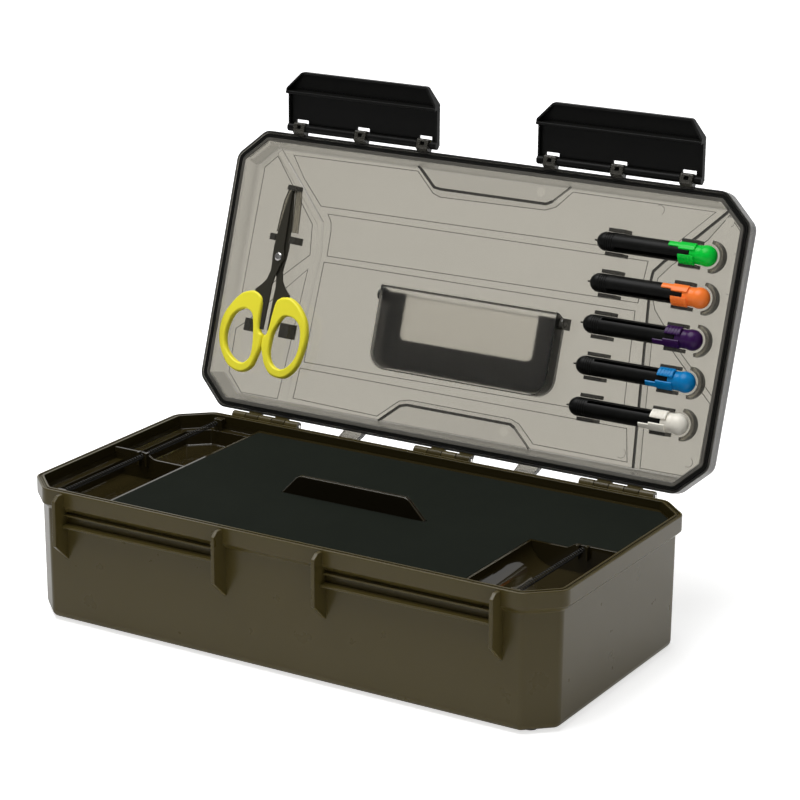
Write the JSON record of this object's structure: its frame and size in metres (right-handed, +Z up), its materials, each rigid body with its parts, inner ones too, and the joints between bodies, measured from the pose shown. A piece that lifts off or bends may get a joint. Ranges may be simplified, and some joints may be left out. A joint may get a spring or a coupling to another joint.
{
  "type": "tackle accessory box",
  "caption": "Hinged plastic tackle box with a lift-out tray, a see-through lid, latches, a tilting bin, clipped scissors and retracting needle tools.",
  "frame": {"origin": "middle of the footprint, on the surface that the feet stand on", "axes": "+X along the box to the side of the needle tools, +Y from the front towards the hinge, +Z up"},
  "size_m": [0.372, 0.2692, 0.3052],
  "materials": {
    "olive": "satin moulding",
    "foam": "matte foam",
    "black_plastic": "satin moulding",
    "smoke": "translucent, polished",
    "seal": "matte",
    "bright_steel": "polished",
    "dark_steel": "black coated",
    "yellow": "satin moulding",
    "foot_rubber": "matte",
    "white_plastic": "glossy moulding",
    "blue_plastic": "glossy moulding",
    "purple_plastic": "glossy moulding",
    "orange_plastic": "glossy moulding",
    "green_plastic": "glossy moulding"
  },
  "bodies": {
    "base": {"base_shell": "olive", "foot_1": "foot_rubber", "foot_2": "foot_rubber", "foot_3": "foot_rubber", "foot_4": "foot_rubber", "foot_5": "foot_rubber", "foot_6": "foot_rubber", "hinge_pin_left": "bright_steel", "hinge_pin_middle": "bright_steel", "hinge_pin_right": "bright_steel"},
    "tray": {"lift_out_tray": "olive", "foam_pad": "foam", "rig_spring_left_front": "dark_steel", "rig_spring_left_back": "dark_steel", "rig_spring_right": "dark_steel"},
    "lid": {"lid_shell": "smoke", "lid_seal": "seal"},
    "left_latch": {"latch_left": "black_plastic"},
    "right_latch": {"latch_right": "black_plastic"},
    "bin": {"tilting_bin": "smoke"},
    "scissors": {"scissors_blade_left": "dark_steel", "scissors_blade_right": "dark_steel", "scissors_handle_left": "yellow", "scissors_handle_right": "yellow", "scissors_rivet": "bright_steel"},
    "white_tool": {"white_barrel": "black_plastic", "white_end_cap": "white_plastic"},
    "white_slide": {"white_slider": "white_plastic", "white_needle": "bright_steel"},
    "blue_tool": {"blue_barrel": "black_plastic", "blue_end_cap": "blue_plastic"},
    "blue_slide": {"blue_slider": "blue_plastic", "blue_needle": "bright_steel"},
    "purple_tool": {"purple_barrel": "black_plastic", "purple_end_cap": "purple_plastic"},
    "purple_slide": {"purple_slider": "purple_plastic", "purple_needle": "bright_steel"},
    "orange_tool": {"orange_barrel": "black_plastic", "orange_end_cap": "orange_plastic"},
    "orange_slide": {"orange_slider": "orange_plastic", "orange_needle": "bright_steel"},
    "green_tool": {"green_barrel": "black_plastic", "green_end_cap": "green_plastic"},
    "green_slide": {"green_slider": "green_plastic", "green_needle": "bright_steel"}
  },
  "joints": [
    {"name": "lid_hinge", "type": "hinge", "parent": "base", "child": "lid", "pos_m": [0, 0.06139, 0.0856], "axis": [1, 0, 0], "range_deg": [0, 108.24]},
    {"name": "tray_lift", "type": "slide", "parent": "base", "child": "tray", "axis": [0, 0, -1], "range_m": [-0.04, 0]},
    {"name": "left_latch_hinge", "type": "hinge", "parent": "lid", "child": "left_latch", "pos_m": [0, 0.12311, 0.26842], "axis": [-1, 0, 0], "range_deg": [-72, 0]},
    {"name": "right_latch_hinge", "type": "hinge", "parent": "lid", "child": "right_latch", "pos_m": [0, 0.12311, 0.26842], "axis": [-1, 0, 0], "range_deg": [-72, 0]},
    {"name": "bin_hinge", "type": "hinge", "parent": "lid", "child": "bin", "pos_m": [0.0045, 0.09687, 0.17281], "axis": [1, 0, 0], "range_deg": [-60, 0]},
    {"name": "scissors_lift", "type": "slide", "parent": "lid", "child": "scissors", "axis": [0, 0.9498, -0.313], "range_m": [-0.016, 0]},
    {"name": "white_lift", "type": "slide", "parent": "lid", "child": "white_tool", "axis": [0, 0.9498, -0.313], "range_m": [-0.018, 0]},
    {"name": "white_needle_slide", "type": "slide", "parent": "white_tool", "child": "white_slide", "axis": [1, 0, 0], "range_m": [-0.0065, 0]},
    {"name": "blue_lift", "type": "slide", "parent": "lid", "child": "blue_tool", "axis": [0, 0.9498, -0.313], "range_m": [-0.018, 0]},
    {"name": "blue_needle_slide", "type": "slide", "parent": "blue_tool", "child": "blue_slide", "axis": [1, 0, 0], "range_m": [-0.0065, 0]},
    {"name": "purple_lift", "type": "slide", "parent": "lid", "child": "purple_tool", "axis": [0, 0.9498, -0.313], "range_m": [-0.018, 0]},
    {"name": "purple_needle_slide", "type": "slide", "parent": "purple_tool", "child": "purple_slide", "axis": [1, 0, 0], "range_m": [-0.0065, 0]},
    {"name": "orange_lift", "type": "slide", "parent": "lid", "child": "orange_tool", "axis": [0, 0.9498, -0.313], "range_m": [-0.018, 0]},
    {"name": "orange_needle_slide", "type": "slide", "parent": "orange_tool", "child": "orange_slide", "axis": [1, 0, 0], "range_m": [-0.03, 0]},
    {"name": "green_lift", "type": "slide", "parent": "lid", "child": "green_tool", "axis": [0, 0.9498, -0.313], "range_m": [-0.018, 0]},
    {"name": "green_needle_slide", "type": "slide", "parent": "green_tool", "child": "green_slide", "axis": [1, 0, 0], "range_m": [-0.03, 0]}
  ]
}
